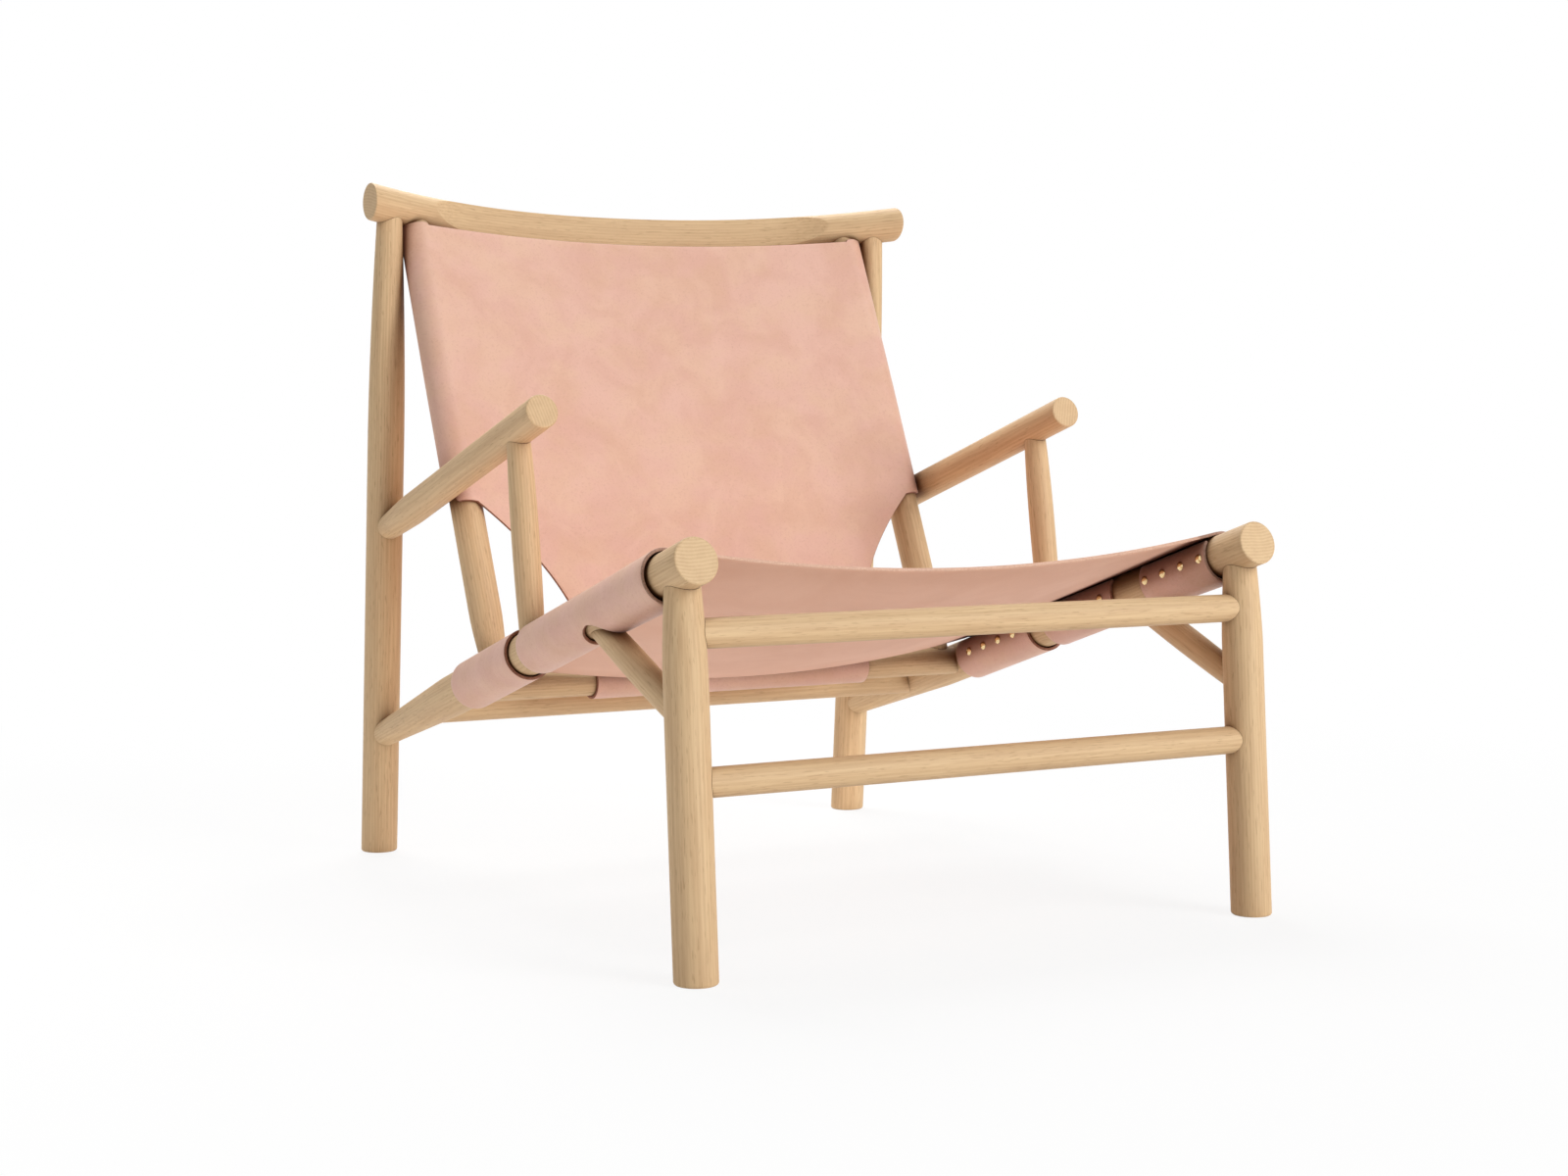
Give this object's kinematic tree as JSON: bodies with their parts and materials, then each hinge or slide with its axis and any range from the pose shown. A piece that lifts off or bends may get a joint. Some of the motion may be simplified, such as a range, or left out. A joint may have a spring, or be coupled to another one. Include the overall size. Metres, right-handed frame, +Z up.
{
  "type": "sling lounge chair",
  "caption": "Low lounge chair: turned oak frame of round tapered members carrying a sling seat and a sling back of thick natural hide, wrapped over the rails and held by domed brass nails.",
  "frame": {"origin": "on the floor under the middle of the chair's outer box", "axes": "+Z up, the front of the chair faces -Y, +X to the right of someone who looks along +Y"},
  "size_m": [0.725, 0.8886, 0.8013],
  "materials": {
    "oak": "pale oak, fine open grain, satin soap or matt lacquer finish",
    "leather": "pale pink-beige vegetable-tanned hide about 3.4 mm thick, smooth grain side, slightly darker cut edges",
    "brass": "polished domed nail heads"
  },
  "bodies": {
    "root": {"arm_left": "oak", "arm_post_left": "oak", "arm_post_right": "oak", "arm_right": "oak", "back_nail_1_left": "brass", "back_nail_1_right": "brass", "back_nail_2_left": "brass", "back_nail_2_right": "brass", "back_nail_3_left": "brass", "back_nail_3_right": "brass", "back_nail_4_left": "brass", "back_nail_4_right": "brass", "back_nail_5_left": "brass", "back_nail_5_right": "brass", "back_nail_6_left": "brass", "back_nail_6_right": "brass", "back_sling": "leather", "back_upright_left": "oak", "back_upright_right": "oak", "brace_left": "oak", "brace_right": "oak", "crest_rail": "oak", "front_leg_left": "oak", "front_leg_right": "oak", "front_stretcher_lower": "oak", "front_stretcher_upper": "oak", "rear_crossbar": "oak", "rear_post_left": "oak", "rear_post_right": "oak", "rear_tie_bar": "oak", "seat_nail_front_1_left": "brass", "seat_nail_front_1_right": "brass", "seat_nail_front_2_left": "brass", "seat_nail_front_2_right": "brass", "seat_nail_front_3_left": "brass", "seat_nail_front_3_right": "brass", "seat_nail_front_4_left": "brass", "seat_nail_front_4_right": "brass", "seat_nail_middle_1_left": "brass", "seat_nail_middle_1_right": "brass", "seat_nail_middle_2_left": "brass", "seat_nail_middle_2_right": "brass", "seat_nail_middle_3_left": "brass", "seat_nail_middle_3_right": "brass", "seat_nail_middle_4_left": "brass", "seat_nail_middle_4_right": "brass", "seat_nail_rear_1_left": "brass", "seat_nail_rear_1_right": "brass", "seat_nail_rear_2_left": "brass", "seat_nail_rear_2_right": "brass", "seat_nail_rear_3_left": "brass", "seat_nail_rear_3_right": "brass", "seat_nail_rear_4_left": "brass", "seat_nail_rear_4_right": "brass", "seat_sling": "leather", "side_rail_left": "oak", "side_rail_right": "oak", "tab_nail_1": "brass", "tab_nail_2": "brass", "tab_nail_3": "brass"}
  },
  "joints": []
}
